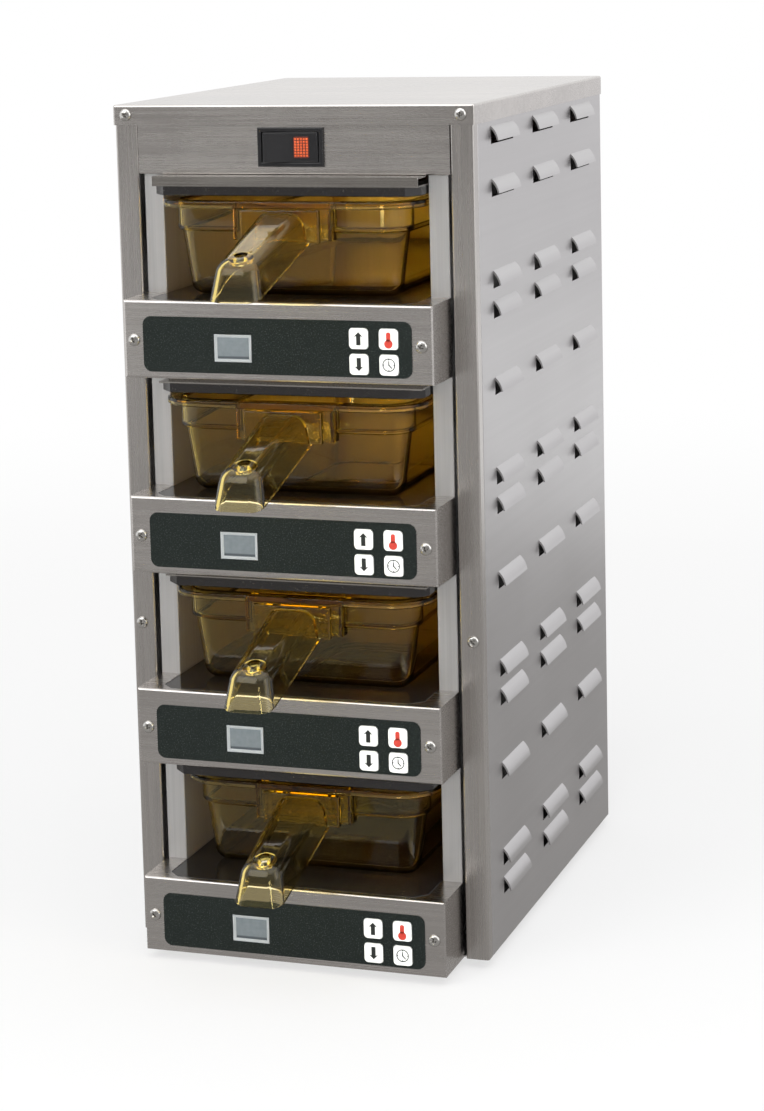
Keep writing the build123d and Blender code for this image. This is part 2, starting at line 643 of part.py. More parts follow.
# The rocker is drawn level and then tipped, so that its right half is pressed in
with BuildPart() as rocker_level:
    with BuildSketch(Plane.XY.offset(switch_z - ROCKER_WIDTH / 2)):
        with BuildLine():
            Polyline(
                (-ROCKER_HALF, rocker_front - ROCKER_RISE),
                (0, rocker_front),
                (ROCKER_HALF, rocker_front - ROCKER_RISE),
                (ROCKER_HALF, FRONT - 1.0),
                (6.0, FRONT + 7.0),
                (-6.0, FRONT + 7.0),
                (-ROCKER_HALF, FRONT - 1.0),
                close=True,
            )
        make_face()
    extrude(amount=ROCKER_WIDTH)
    with Locations((0, FRONT + ROCKER_PIVOT, switch_z)):
        Cylinder(ROCKER_PIN, SWITCH_BODY[1] - 1.0)

lens_front = rocker_front - ROCKER_RISE * LENS_FROM_MIDDLE / ROCKER_HALF
lens_plane = Plane(
    origin=(LENS_FROM_MIDDLE, lens_front, switch_z),
    x_dir=(ROCKER_HALF, -ROCKER_RISE, 0),
    z_dir=(-ROCKER_RISE, -ROCKER_HALF, 0),
)
with BuildPart() as lens_level:
    with BuildSketch(lens_plane.offset(-LENS_DEPTH)):
        RectangleRounded(*LENS, 1.0)
    extrude(amount=LENS_DEPTH + LENS_PROUD)

pivot = Axis((0, FRONT + ROCKER_PIVOT, 0), (0, 0, 1))
with BuildPart() as rocker_key:
    add(rocker_level.part.rotate(pivot, ROCKER_TILT))
    add(lens_level.part.rotate(pivot, ROCKER_TILT), mode=Mode.SUBTRACT)
save(rocker_key.part, "rocker_key")

with BuildPart() as rocker_lens:
    add(lens_level.part.rotate(pivot, ROCKER_TILT))
save(rocker_lens.part, "rocker_lens")

# Cord gland in the back panel: a nut, a domed cap and a through bore for the cord
with BuildPart() as cord_gland:
    gland_z = BASE + GLAND_ABOVE
    with BuildSketch(Plane.XY.offset(gland_z)):
        with BuildLine():
            Polyline(
                (GLAND_X + GLAND_BORE, BACK - 6.0),
                (GLAND_X + 7.2, BACK - 6.0),
                (GLAND_X + 7.2, BACK - SHEET),
                (GLAND_X + GLAND_THREAD, BACK - SHEET),
                (GLAND_X + GLAND_THREAD, BACK),
                (GLAND_X + 9.0, BACK),
                (GLAND_X + 9.0, BACK + 7.0),
                (GLAND_X + 8.2, BACK + 8.0),
                (GLAND_X + 8.2, BACK + 16.0),
                (GLAND_X + 6.2, BACK + GLAND_REACH),
                (GLAND_X + GLAND_BORE, BACK + GLAND_REACH),
                close=True,
            )
        make_face()
    revolve(axis=Axis((GLAND_X, 0, gland_z), (0, 1, 0)))
save(cord_gland.part, "cord_gland")


# Pan-head screw, with its head above the sheet it holds and its shank below
with BuildPart() as screw:
    Cylinder(SCREW_HEAD, SCREW_HEAD_HEIGHT, align=(Align.CENTER, Align.CENTER, Align.MIN))
    fillet(screw.edges().sort_by(Axis.Z)[-1], SCREW_CROWN)
    Cylinder(SCREW_SHANK, SCREW_LENGTH, align=(Align.CENTER, Align.CENTER, Align.MAX))

# Posts, cover, bezels and back panel all take the same screw
front_screws = [(POST_SCREW, FRONT), (COVER_SCREW, FRONT - SHEET)]
front_screws += [((BEZEL_SCREW[0], floor_of(s) + BEZEL_SCREW[1]), FACE) for s in SLOT_NUMBERS]
rear_screws = [(place, BACK) for place in BACK_SCREWS]
rear_screws += [((s * COVER_SCREW[0], COVER_SCREW[1]), BACK + SHEET) for s in (-1, 1)]
with BuildPart() as panel_screws:
    for (x, z), y in front_screws:
        with Locations(Location((x, y, z), (90, 0, 0)), Location((-x, y, z), (90, 0, 0))):
            add(screw.part)
    for (x, z), y in rear_screws:
        with Locations(Location((x, y, z), (-90, 0, 0))):
            add(screw.part)
save(panel_screws.part, "panel_screws")
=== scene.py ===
import math

import bmesh
import bpy
from mathutils import Matrix, Vector


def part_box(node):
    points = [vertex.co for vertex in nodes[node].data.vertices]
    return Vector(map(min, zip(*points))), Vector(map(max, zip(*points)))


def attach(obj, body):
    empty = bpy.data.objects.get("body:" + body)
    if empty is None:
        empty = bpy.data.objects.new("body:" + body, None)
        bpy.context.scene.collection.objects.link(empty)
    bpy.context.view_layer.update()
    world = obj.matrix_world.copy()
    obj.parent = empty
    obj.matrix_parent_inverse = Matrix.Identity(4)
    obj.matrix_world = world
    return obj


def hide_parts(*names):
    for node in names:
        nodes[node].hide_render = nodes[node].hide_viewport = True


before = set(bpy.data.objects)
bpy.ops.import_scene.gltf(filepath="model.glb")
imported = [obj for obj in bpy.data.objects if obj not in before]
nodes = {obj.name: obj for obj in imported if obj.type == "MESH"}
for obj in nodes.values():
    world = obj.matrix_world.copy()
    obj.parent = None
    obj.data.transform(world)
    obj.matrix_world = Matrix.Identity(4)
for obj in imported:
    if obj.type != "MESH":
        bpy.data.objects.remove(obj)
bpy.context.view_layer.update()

# Camera: a little to the right of the middle and just above the cabinet's top, with the
# lens shifted down so that the upright edges stay nearly parallel.
camera_data = bpy.data.cameras.new("camera")
camera_data.lens = 91.73
camera_data.shift_y = -0.18
camera = bpy.data.objects.new("camera", camera_data)
camera.location = (0.626, -1.7901, 0.6631)
looks_at = Vector((0.0015, 0.0522, 0.3738))
level = (looks_at - camera.location).to_track_quat("-Z", "Y").to_matrix()
camera.rotation_euler = (level @ Matrix.Rotation(math.radians(-1.357), 3, "Z")).to_euler()
bpy.context.scene.collection.objects.link(camera)
bpy.context.scene.camera = camera


# Cover, header, bezels and front posts: stainless sheet, folded and screwed together, brushed
# across the cabinet or up the posts. Every finish in the file is built with the two classes
# here, which write a shader's maths as plain expressions.
class Value:
    """A number or colour that a shader node gives, for use in plain expressions."""

    def __init__(self, finish, output):
        self.finish, self.output = finish, output

    def _math(self, operation, other):
        return self.finish.node("ShaderNodeMath", {"operation": operation}, {0: self, 1: other})

    def __add__(self, other):
        return self._math("ADD", other)

    def __sub__(self, other):
        return self._math("SUBTRACT", other)

    def __mul__(self, other):
        return self._math("MULTIPLY", other)

    __radd__ = __add__

    def above(self, edge, soft):
        """0 below the edge and 1 above it, over a soft width."""
        return self.finish.node(
            "ShaderNodeMapRange",
            {"interpolation_type": "SMOOTHSTEP"},
            {"Value": self, "From Min": edge - soft, "From Max": edge + soft},
        )


class Finish:
    """A material on the principled shader, patterned by the object's own coordinates."""

    def __init__(self, name, colour, **constants):
        self.material = bpy.data.materials.new(name)
        self.material.use_nodes = True
        self.tree = self.material.node_tree
        self.shader = self.tree.nodes["Principled BSDF"]
        self.set({"Base Color": (*colour, 1.0), **constants})
        self.here = self.node("ShaderNodeTexCoord", output="Object")

    def set(self, inputs):
        self._fill(self.shader, inputs)

    def _fill(self, node, inputs):
        for name, value in inputs.items():
            if isinstance(value, Value):
                self.tree.links.new(value.output, node.inputs[name])
            else:
                node.inputs[name].default_value = value

    def node(self, kind, settings=None, inputs=None, output=0):
        made = self.tree.nodes.new(kind)
        for name, value in (settings or {}).items():
            setattr(made, name, value)
        self._fill(made, inputs or {})
        return Value(self, made.outputs[output])

    def output(self, **shaders):
        """Sets what the material shows, in place of the principled shader alone."""
        self._fill(self.tree.nodes["Material Output"], shaders)

    def along(self, axis):
        """The object's own coordinate along one axis, in metres."""
        return self.node("ShaderNodeSeparateXYZ", {}, {"Vector": self.here}, output=axis)

    def grain(self, stretch, detail, shift=(0.0, 0.0, 0.0)):
        """Noise from 0 to 1 with its own number of waves per metre along each axis."""
        placing = {"Vector": self.here, "Scale": stretch, "Location": shift}
        place = self.node("ShaderNodeMapping", {}, placing)
        return self.node("ShaderNodeTexNoise", {}, {"Vector": place, "Scale": 1.0, "Detail": detail})

    def mix(self, factor, first, second):
        """From one colour to another by a factor."""
        # The mix node's inputs 6 and 7 and its output 2 are the ones for colours
        colours = {}
        for socket, value in ((6, first), (7, second)):
            colours[socket] = value if isinstance(value, Value) else (*value, 1.0)
        return self.node("ShaderNodeMix", {"data_type": "RGBA"}, {0: factor, **colours}, output=2)

    def bump(self, height, strength, distance):
        """Raises the surface by a pattern, at most by a distance in metres."""
        inputs = {"Height": height, "Strength": strength, "Distance": distance}
        self.set({"Normal": self.node("ShaderNodeBump", {}, inputs)})


def shade(colour, factor):
    """A colour made lighter or darker."""
    return tuple(min(1.0, channel * factor) for channel in colour)


def brushed_steel(name, colour, fine, broad, roughness=0.27, contrast=0.14, metal=1.0):
    """Stainless steel with fine scratches, broader bands and hand-worn smears."""
    steel = Finish(name, colour, Metallic=metal, Roughness=roughness)
    scratches = steel.grain(fine, 3.0)
    bands = steel.grain(broad, 2.0, (3.1, 1.7, 5.3))
    smears = steel.grain((11.0, 13.0, 9.0), 4.0, (0.4, 2.2, 1.1))
    tone = scratches * 0.34 + bands * 0.3 + smears * 0.36
    dark, light = shade(colour, 1.0 - contrast), shade(colour, 1.0 + contrast)
    steel.set(
        {
            "Base Color": steel.mix(tone.above(0.5, 0.25), dark, light),
            "Roughness": scratches * 0.16 + smears * 0.14 + (roughness - 0.15),
        }
    )
    steel.bump(scratches, 0.12, 0.0002)
    return steel.material


def finish_node(name, material):
    """Gives a carried-over frame node its material."""
    mesh = nodes[name].data
    mesh.materials.clear()
    mesh.materials.append(material)


SLOTS = (1, 2, 3, 4)
STEEL = (0.58, 0.555, 0.535)
# Waves per metre along x, y and z, of the fine scratches and of the broader bands
ACROSS = ((14.0, 1500.0, 1500.0), (2.5, 260.0, 260.0))
UPRIGHT = ((1500.0, 1500.0, 14.0), (260.0, 260.0, 2.5))
FORE_AND_AFT = ((1500.0, 14.0, 1500.0), (260.0, 2.5, 260.0))
steel_across = brushed_steel("steel brushed across", STEEL, *ACROSS)
steel_upright = brushed_steel("steel brushed upright", shade(STEEL, 0.95), *UPRIGHT)
for name in ("top_cover", "header_panel", *[f"bezel_{slot}" for slot in SLOTS]):
    finish_node(name, steel_across)
for name in ("right_front_post", "left_front_post"):
    finish_node(name, steel_upright)

# Side panels, back panel and base pan: satin stainless sheet. The sides are brushed fore and
# aft, with louvres lanced outwards. The back is brushed upright, and the base pan like it.
side_steel = brushed_steel("side steel", (0.56, 0.55, 0.555), *FORE_AND_AFT, roughness=0.36, contrast=0.05)
for name in ("right_side_panel", "left_side_panel"):
    finish_node(name, side_steel)
back_steel = brushed_steel("back steel", (0.58, 0.57, 0.57), *UPRIGHT, roughness=0.36, contrast=0.07)
for name in ("back_panel", "base_pan"):
    finish_node(name, back_steel)

# Slot liners and shelf trays: stainless sheet inside the body. The liners are dull and brushed
# upright, with the front strips beside each slot folded on. The trays are polished.
liner_steel = brushed_steel("liner steel", (0.4, 0.395, 0.39), *UPRIGHT, roughness=0.4, metal=0.6)
# The tray steel is darker than the outside steel: painted shade for the bezels' shadow on the tray aprons
tray_steel_painted_shade = brushed_steel("tray steel painted shade", (0.42, 0.4, 0.375), *ACROSS, roughness=0.17)
for name in ("right_side_liner", "left_side_liner", "rear_liner"):
    finish_node(name, liner_steel)
finish_node("shelf_trays", tray_steel_painted_shade)

# Heated plates: thick aluminium with a gloss black hard coat, one under and one over each
# pan. The coat is rubbed a little along the way the pans slide, and has some dust on it.
plate_coat = Finish("black hard coat", (0.012, 0.011, 0.011), Roughness=0.12)
rubbed = plate_coat.grain((260.0, 7.0, 260.0), 4.0)
dust = plate_coat.grain((900.0, 900.0, 900.0), 1.0).above(0.72, 0.04)
plate_coat.set(
    {
        "Base Color": plate_coat.mix(dust, (0.012, 0.011, 0.011), (0.05, 0.048, 0.045)),
        "Roughness": rubbed * 0.16 + 0.06,
    }
)
for slot in SLOTS:
    finish_node(f"floor_plate_{slot}", plate_coat.material)
    finish_node(f"ceiling_plate_{slot}", plate_coat.material)

# Heater mats: red silicone rubber over an etched foil, whose tracks show through. They are
# stuck to the hidden side of the plates.
mat_rubber = Finish("heater mat rubber", (0.42, 0.1, 0.05), Roughness=0.55)
tracks = mat_rubber.node(
    "ShaderNodeTexWave", {"wave_type": "BANDS", "bands_direction": "X"},
    {"Vector": mat_rubber.here, "Scale": 22.0, "Distortion": 0.6},
)
mat_rubber.set({"Base Color": mat_rubber.mix(tracks.above(0.5, 0.1), (0.42, 0.1, 0.05), (0.5, 0.2, 0.1))})
mat_rubber.bump(tracks, 0.4, 0.0003)
finish_node("heater_mats", mat_rubber.material)

# Control boards: green fibreglass with solder mask over the copper tracks, one fixed upright
# behind the front of each bezel
board = Finish("circuit board", (0.03, 0.16, 0.07), Roughness=0.35)
copper = board.grain((300.0, 300.0, 60.0), 1.0).above(0.55, 0.02)
board.set({"Base Color": board.mix(copper, (0.02, 0.13, 0.055), (0.06, 0.26, 0.12))})
board.bump(copper, 0.3, 0.0001)
finish_node("control_boards", board.material)

# Control overlays: near-black polyester film with a fine texture and round corners, cut out
# for the display and buttons, and stuck to the front of each bezel
film = Finish("overlay film", (0.014, 0.019, 0.017), Roughness=0.42)
film.set({"Specular IOR Level": 0.22})
speckle = film.grain((1300.0, 1300.0, 1300.0), 2.0)
patches = film.grain((45.0, 45.0, 45.0), 3.0)
film.set(
    {
        "Base Color": film.mix(speckle.above(0.62, 0.08), (0.007, 0.010, 0.009), (0.042, 0.052, 0.047)),
        "Roughness": patches * 0.2 + 0.3,
    }
)
film.bump(speckle, 0.15, 0.0001)
for slot in SLOTS:
    finish_node(f"control_overlay_{slot}", film.material)


# Displays: a mid grey moulded frame round a grey glass, with a painted shadow along the glass's lower
# edge.
# The frame fits a cut-out of the overlay, and the glass lies back from its front edge.
MM = 0.001
SHARP_ANGLE = math.radians(35.0)


def new_piece(name, mesh_maker, materials, body, stands_for=(), bevel=None):
    """A mesh in metres as a piece of the object, riding on one body of the frame."""
    made = bmesh.new()
    mesh_maker(made)
    bmesh.ops.remove_doubles(made, verts=made.verts[:], dist=1e-7)
    bmesh.ops.recalc_face_normals(made, faces=made.faces[:])
    mesh = bpy.data.meshes.new(name)
    made.to_mesh(mesh)
    made.free()
    mesh.polygons.foreach_set("use_smooth", [True] * len(mesh.polygons))
    mesh.set_sharp_from_angle(angle=SHARP_ANGLE)
    for material in materials:
        mesh.materials.append(material)
    place_piece(name, mesh, body, stands_for, bevel)


def place_piece(name, mesh, body, stands_for=(), bevel=None):
    """Makes a mesh an object of the scene. A bevel is the radius of its edges in millimetres."""
    piece = bpy.data.objects.new(name, mesh)
    bpy.context.scene.collection.objects.link(piece)
    if bevel:
        rounding = piece.modifiers.new("rounded edges", "BEVEL")
        rounding.width, rounding.segments, rounding.limit_method = bevel * MM, 3, "ANGLE"
        rounding.angle_limit = SHARP_ANGLE
    weighting = piece.modifiers.new("even shading", "WEIGHTED_NORMAL")
    weighting.keep_sharp = True
    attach(piece, body)
    if stands_for:
        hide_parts(*stands_for)


def round_off(made, geom, radius, segments, affect="EDGES"):
    """Rounds edges or corners by a radius in millimetres."""
    return bmesh.ops.bevel(
        made, geom=geom, offset=radius * MM, offset_type="OFFSET", segments=segments,
        profile=0.5, material=-1, affect=affect,
    )


def rounded_face(made, width, height, radius, segments=6):
    """A flat rectangle about the origin, facing +Z, in millimetres. A radius of 0 leaves it square."""
    corners = bmesh.ops.create_grid(made, x_segments=1, y_segments=1, size=0.5)["verts"]
    bmesh.ops.scale(made, vec=(width * MM, height * MM, 1.0), verts=corners)
    if not radius:
        return corners[0].link_faces[0]
    rounded = round_off(made, corners, radius, segments, affect="VERTICES")
    return rounded["verts"][0].link_faces[0]


def stepped(made, face, steps):
    """Carries a face inwards and along Z, one ring of faces for each (inward, rise) in millimetres."""
    for inward, rise in steps:
        bmesh.ops.inset_individual(made, faces=[face], thickness=inward * MM, use_even_offset=True)
        bmesh.ops.translate(made, vec=(0.0, 0.0, rise * MM), verts=face.verts[:])


def solid_from(made, face, depth):
    """Raises a flat face by a depth into a solid, and hands back the face on top."""
    grown = bmesh.ops.extrude_face_region(made, geom=[face])["geom"]
    top = next(part for part in grown if isinstance(part, bmesh.types.BMFace))
    bmesh.ops.translate(made, vec=(0.0, 0.0, depth * MM), verts=top.verts[:])
    return top


FACING_FRONT = Matrix.Rotation(math.radians(90.0), 4, "X")


def to_front(made, x, y, z):
    """Turns what was made flat, facing +Z, so that it faces the front, at a place in metres."""
    bmesh.ops.transform(made, matrix=Matrix.Translation((x, y, z)) @ FACING_FRONT, verts=made.verts[:])


frame_plastic = Finish("display frame", (0.31, 0.33, 0.34), Roughness=0.4)
mould = frame_plastic.grain((700.0, 700.0, 700.0), 2.0)
frame_plastic.set({"Base Color": frame_plastic.mix(mould, (0.27, 0.29, 0.295), (0.34, 0.36, 0.368))})
frame_plastic.bump(mould, 0.1, 0.0001)

DISPLAY_SIZE = (25.0, 17.4)
DISPLAY_AT = (-28.7, -29.3)
DISPLAY_DEPTH = 7.6
DISPLAY_EDGE = 0.1
DISPLAY_LIP = [(0.7, 0.0), (0.15, -0.15), (0.35, -0.35), (0.5, -0.2), (0.05, -0.5)]
GLASS_INSET = 3.3
GLASS_THICK = 0.6
GLASS_SET_BACK = 1.0
slot_floor = {slot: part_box(f"bezel_{slot}")[1].z for slot in SLOTS}
for slot in SLOTS:
    display_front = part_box(f"display_{slot}")[0].y
    display_z = slot_floor[slot] + DISPLAY_AT[1] * MM

    def display_frame(made):
        top = solid_from(made, rounded_face(made, *DISPLAY_SIZE, 0.0), DISPLAY_DEPTH)
        stepped(made, top, [(0.15, DISPLAY_EDGE), *DISPLAY_LIP])
        rear = display_front + (DISPLAY_DEPTH + DISPLAY_EDGE) * MM
        to_front(made, DISPLAY_AT[0] * MM, rear, display_z)

    new_piece(
        f"display_frame_{slot}", display_frame, [frame_plastic.material], "cabinet",
        (f"display_{slot}",), bevel=0.1,
    )

    lcd = Finish(f"display glass {slot}", (0.14, 0.16, 0.17), Roughness=0.12)
    lcd.set({"Coat Weight": 0.5, "Coat Roughness": 0.04})
    height = (lcd.along("Z") - (display_z - DISPLAY_SIZE[1] / 2 * MM)) * (1000.0 / DISPLAY_SIZE[1])
    cloud = lcd.grain((300.0, 300.0, 300.0), 3.0)
    pale = lcd.mix(cloud, (0.1, 0.12, 0.13), (0.15, 0.17, 0.182))
    # Painted shadow: the lowest fifth of the glass takes a darker colour
    lcd.set({"Base Color": lcd.mix(height.above(0.2, 0.03), (0.05, 0.06, 0.067), pale)})

    def display_glass(made):
        width, tall = [size - GLASS_INSET for size in DISPLAY_SIZE]
        solid_from(made, rounded_face(made, width, tall, 0.2, 2), GLASS_THICK)
        rear = display_front + (GLASS_SET_BACK + GLASS_THICK) * MM
        to_front(made, DISPLAY_AT[0] * MM, rear, display_z)

    new_piece(f"display_glass_{slot}", display_glass, [lcd.material], "cabinet")


# Buttons: off-white moulded caps that stand 0.6 mm out of the overlay, each with a printed
# sign: an arrow up, a red thermometer, an arrow down and a clock.
def ink(name, colour):
    printed = Finish(name, colour, Roughness=0.5)
    worn = printed.grain((900.0, 900.0, 900.0), 2.0)
    printed.set({"Base Color": printed.mix(worn, shade(colour, 0.8), shade(colour, 1.25))})
    return printed.material


cap_plastic = Finish("button plastic", (0.8, 0.81, 0.78), Roughness=0.38)
cap_mould = cap_plastic.grain((500.0, 500.0, 500.0), 3.0)
cap_plastic.set(
    {
        "Base Color": cap_plastic.mix(cap_mould, (0.74, 0.76, 0.73), (0.86, 0.87, 0.84)),
        "Roughness": cap_mould * 0.2 + 0.28,
    }
)
cap_plastic.bump(cap_mould, 0.08, 0.0001)
black_ink = ink("black ink", (0.012, 0.014, 0.013))
red_ink = ink("red ink", (0.46, 0.035, 0.02))
CAP = (12.5, 13.0)
CAP_RADIUS = 2.6
CAP_SIDE = 2.0
CAP_EDGE = [(0.1, 0.16), (0.16, 0.1), (0.9, 0.05), (0.5, 0.0)]
CAP_TOP = CAP_SIDE + sum(rise for inward, rise in CAP_EDGE)
FLANGE_WIDER = 1.8
FLANGE_THICK = 0.9
PRINT_THICK = 0.05
DIAL_RADIUS, DIAL_LINE, DIAL_RISE = 4.2, 0.62, 0.1
BULB_RADIUS, BULB_DROP = 2.75, -3.0


def raise_print(made, new_faces):
    """Thickens flat printed faces and marks them as ink."""
    for face in new_faces:
        face.material_index = 1
    grown = bmesh.ops.extrude_face_region(made, geom=new_faces)["geom"]
    verts = [part for part in grown if isinstance(part, bmesh.types.BMVert)]
    bmesh.ops.translate(made, vec=(0.0, 0.0, PRINT_THICK * MM), verts=verts)
    for face in {face for vert in verts for face in vert.link_faces}:
        face.material_index = 1


def flat_outline(made, points):
    """A flat printed face from its corners in millimetres."""
    return made.faces.new([made.verts.new((x * MM, y * MM, 0.0)) for x, y in points])


def arrow(made, up):
    tip, head, barb, notch, shaft = 4.15, 3.0, 1.1, 1.55, 1.42
    right_side = [(head, barb), (shaft, notch), (shaft, -tip)]
    left_side = [(-x, y) for x, y in reversed(right_side)]
    outline = [(0.0, tip), *right_side, *left_side]
    if not up:
        outline = [(-x, -y) for x, y in outline]
    return [flat_outline(made, outline)]


def disc(made, radius, y, segments):
    """A flat printed disc above or below the middle of the cap, in millimetres."""
    rim = bmesh.ops.create_circle(
        made, cap_ends=True, radius=radius * MM, segments=segments,
        matrix=Matrix.Translation((0.0, y * MM, 0.0)),
    )["verts"]
    return rim[0].link_faces[0]


def thermometer(made):
    half, foot, top = 1.45, -1.2, 4.35
    disc(made, BULB_RADIUS, BULB_DROP, 28)
    stem = flat_outline(made, [(-half, foot), (half, foot), (half, top), (-half, top)])
    round_off(made, [vert for vert in stem.verts if vert.co.y > 0], 1.35, 5, affect="VERTICES")
    return made.faces[:]


def on_dial(made, points, degrees):
    """A printed mark of the clock, turned about the middle of its dial."""
    sine, cosine = math.sin(math.radians(degrees)), math.cos(math.radians(degrees))
    flat_outline(
        made,
        [(x * cosine - y * sine, x * sine + y * cosine + DIAL_RISE) for x, y in points],
    )


def clock(made):
    rim = disc(made, DIAL_RADIUS, DIAL_RISE, 40)
    bmesh.ops.inset_individual(made, faces=[rim], thickness=DIAL_LINE * MM)
    bmesh.ops.delete(made, geom=[rim], context="FACES")
    for mark in range(4):
        on_dial(made, [(-0.55, 3.7), (0.55, 3.7), (0.0, 2.75)], 90.0 * mark)
    for degrees, reach in ((0.0, 2.5), (-137.0, 2.9)):
        on_dial(made, [(-0.42, -0.35), (0.42, -0.35), (0.3, reach), (-0.3, reach)], degrees)
    return made.faces[:]


# Each sign's place on its bezel, how it is drawn, and its ink
SIGNS = {
    "up": ((55.2, -21.1), lambda made: arrow(made, True), black_ink),
    "temperature": ((74.8, -21.1), thermometer, red_ink),
    "down": ((55.2, -37.3), lambda made: arrow(made, False), black_ink),
    "time": ((74.8, -37.3), clock, black_ink),
}
for slot in SLOTS:
    for sign, ((cap_x, cap_below), draw, sign_ink) in SIGNS.items():
        node_name = f"button_{sign}_{slot}"
        cap_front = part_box(node_name)[0].y

        def cap(made):
            """The key with its print, and a flange below it that the overlay holds back."""
            printed = bmesh.new()
            raise_print(printed, draw(printed))
            print_mesh = bpy.data.meshes.new("print")
            printed.to_mesh(print_mesh)
            printed.free()
            top = solid_from(made, rounded_face(made, *CAP, CAP_RADIUS), CAP_SIDE)
            stepped(made, top, CAP_EDGE)
            width, tall = [size + FLANGE_WIDER for size in CAP]
            solid_from(made, rounded_face(made, width, tall, 0.3, 2), -FLANGE_THICK)
            before = len(made.verts)
            made.from_mesh(print_mesh)
            made.verts.ensure_lookup_table()
            bmesh.ops.translate(made, vec=(0.0, 0.0, CAP_TOP * MM), verts=made.verts[before:])
            bpy.data.meshes.remove(print_mesh)
            cap_foot = cap_front + (CAP_TOP + PRINT_THICK) * MM
            to_front(made, cap_x * MM, cap_foot, slot_floor[slot] + cap_below * MM)

        new_piece(
            node_name + "_cap", cap, [cap_plastic.material, sign_ink], f"button_{sign}_{slot}",
            (node_name,),
        )

# Pans: clear amber high-heat plastic, moulded in one piece, with tapered walls, a stepped
# shoulder, a rolled rim and a hollow handle that leans down from a boss at the front. Each
# stands on its lower plate and slides out.
PAN = (176.0, 325.0)
RIM_RADIUS, RIM_UNDERSIDE, RIM_THICK = 28.0, 57.8, 2.9
WALL_TAPER = math.tan(math.radians(8.0))
INSIDE_WALL, OUTSIDE_WALL = 33.45, 31.7
HANDLE_REACH, HANDLE_WALL = 86.0, 2.5
HANG_HOLE_AT = -69.0
amber = Finish("amber plastic", (0.96, 0.92, 0.82), Roughness=0.03)
amber.set({"Transmission Weight": 1.0, "IOR": 1.41})
ripple = amber.grain((26.0, 26.0, 26.0), 3.0)
scuffs = amber.grain((420.0, 60.0, 420.0), 3.0)
amber.set(
    {
        "Base Color": amber.mix(ripple, (0.95, 0.9, 0.74), (0.99, 0.96, 0.86)),
        "Roughness": scuffs.above(0.68, 0.1) * 0.12 + 0.012,
    }
)
amber.bump(ripple, 0.04, 0.001)
lamp_ray = amber.node("ShaderNodeLightPath", output="Is Shadow Ray")
let_through = amber.node("ShaderNodeBsdfTransparent", {}, {"Color": (0.95, 0.9, 0.75, 1.0)})
plastic = Value(amber, amber.shader.outputs[0])
amber.output(
    Surface=amber.node("ShaderNodeMixShader", {}, {0: lamp_ray, 1: plastic, 2: let_through}),
    Volume=amber.node(
        "ShaderNodeVolumeAbsorption", {}, {"Color": (0.97, 0.83, 0.06, 1.0), "Density": 205.0}
    ),
)


def quarter(radius, steps):
    """Steps (inward, rise) round a quarter turn, from upright to flat."""
    points = []
    for i in range(1, steps + 1):
        start, end = [math.radians(90.0 * (i - back) / steps) for back in (1, 0)]
        inward = radius * (math.cos(start) - math.cos(end))
        points.append((inward, -radius * (math.sin(end) - math.sin(start))))
    return points


def pan_shell(made):
    """The pan without its handle: one closed wall, stepped down inside and outside the rim."""
    rim = rounded_face(made, *PAN, RIM_RADIUS, 10)
    bmesh.ops.translate(made, vec=(0.0, 0.0, RIM_UNDERSIDE * MM), verts=made.verts[:])
    inner = solid_from(made, rim, RIM_THICK)
    rim_top = [(0.25, 0.5), (0.55, 0.3), (1.2, 0.0), (7.6, 0.0), (0.5, -0.15), (0.6, -0.6), (0.3, -0.9)]
    shoulder = [(0.0, -14.4), (0.35, -0.9), (0.8, -0.45), (1.85, -0.15), (0.0, -1.0)]
    wall_inside = [(WALL_TAPER * INSIDE_WALL, -INSIDE_WALL), *quarter(6.5, 5)]
    stepped(made, inner, rim_top + shoulder + wall_inside)
    outer = next(
        face for face in made.faces
        if len(face.verts) > 8 and face is not inner
        and face.calc_center_median().z < (RIM_UNDERSIDE + 0.1) * MM
    )
    bead = [(0.3, -0.5), (0.5, -0.3), (0.9, 0.0), (0.5, 0.3), (0.3, 0.5)]
    groove = [(0.0, 1.2), (0.3, 0.2), (5.3, 0.0), (0.4, -0.3)]
    shoulder_outside = [(0.0, -15.4), (0.4, -1.0), (1.0, -0.9), (1.6, -0.3), (0.0, -0.8)]
    wall_outside = [(WALL_TAPER * OUTSIDE_WALL, -OUTSIDE_WALL), *quarter(9.0, 6)]
    stepped(made, outer, bead + groove + shoulder_outside + wall_outside)
    bmesh.ops.translate(made, vec=(0.0, PAN[1] / 2 * MM, 0.0), verts=made.verts[:])


def box_part(made, x, y, z):
    """A box from its two limits along each axis, in millimetres."""
    corners = bmesh.ops.create_cube(made, size=1.0)["verts"]
    bmesh.ops.scale(made, vec=[(high - low) * MM for low, high in (x, y, z)], verts=corners)
    bmesh.ops.translate(made, vec=[(low + high) / 2 * MM for low, high in (x, y, z)], verts=corners)


def edges_where(made, test):
    """The edges whose two ends, in millimetres, pass a test."""
    return [edge for edge in made.edges if test(edge.verts[0].co / MM, edge.verts[1].co / MM)]


def pan_boss(made):
    """The block on the pan's front wall that the handle grows from."""
    box_part(made, (-33.0, 33.0), (1.2, 14.0), (37.0, 59.9))
    uprights = edges_where(made, lambda a, b: abs(a.z - b.z) > 5 and a.y < 5)
    lower = edges_where(made, lambda a, b: a.z < 38 and b.z < 38 and a.y < 5 and b.y < 5)
    round_off(made, uprights + lower, 2.0, 3)


def boss_hollow(made):
    box_part(made, (-30.5, 30.5), (3.7, 8.6), (36.0, 57.0))


def pan_wing(made):
    """The flat wings on both sides of the handle's root."""
    box_part(made, (-26.0, 26.0), (-2.6, 2.0), (36.2, 56.5))
    round_off(made, edges_where(made, lambda a, b: a.y < 0 and b.y < 0), 1.2, 3)


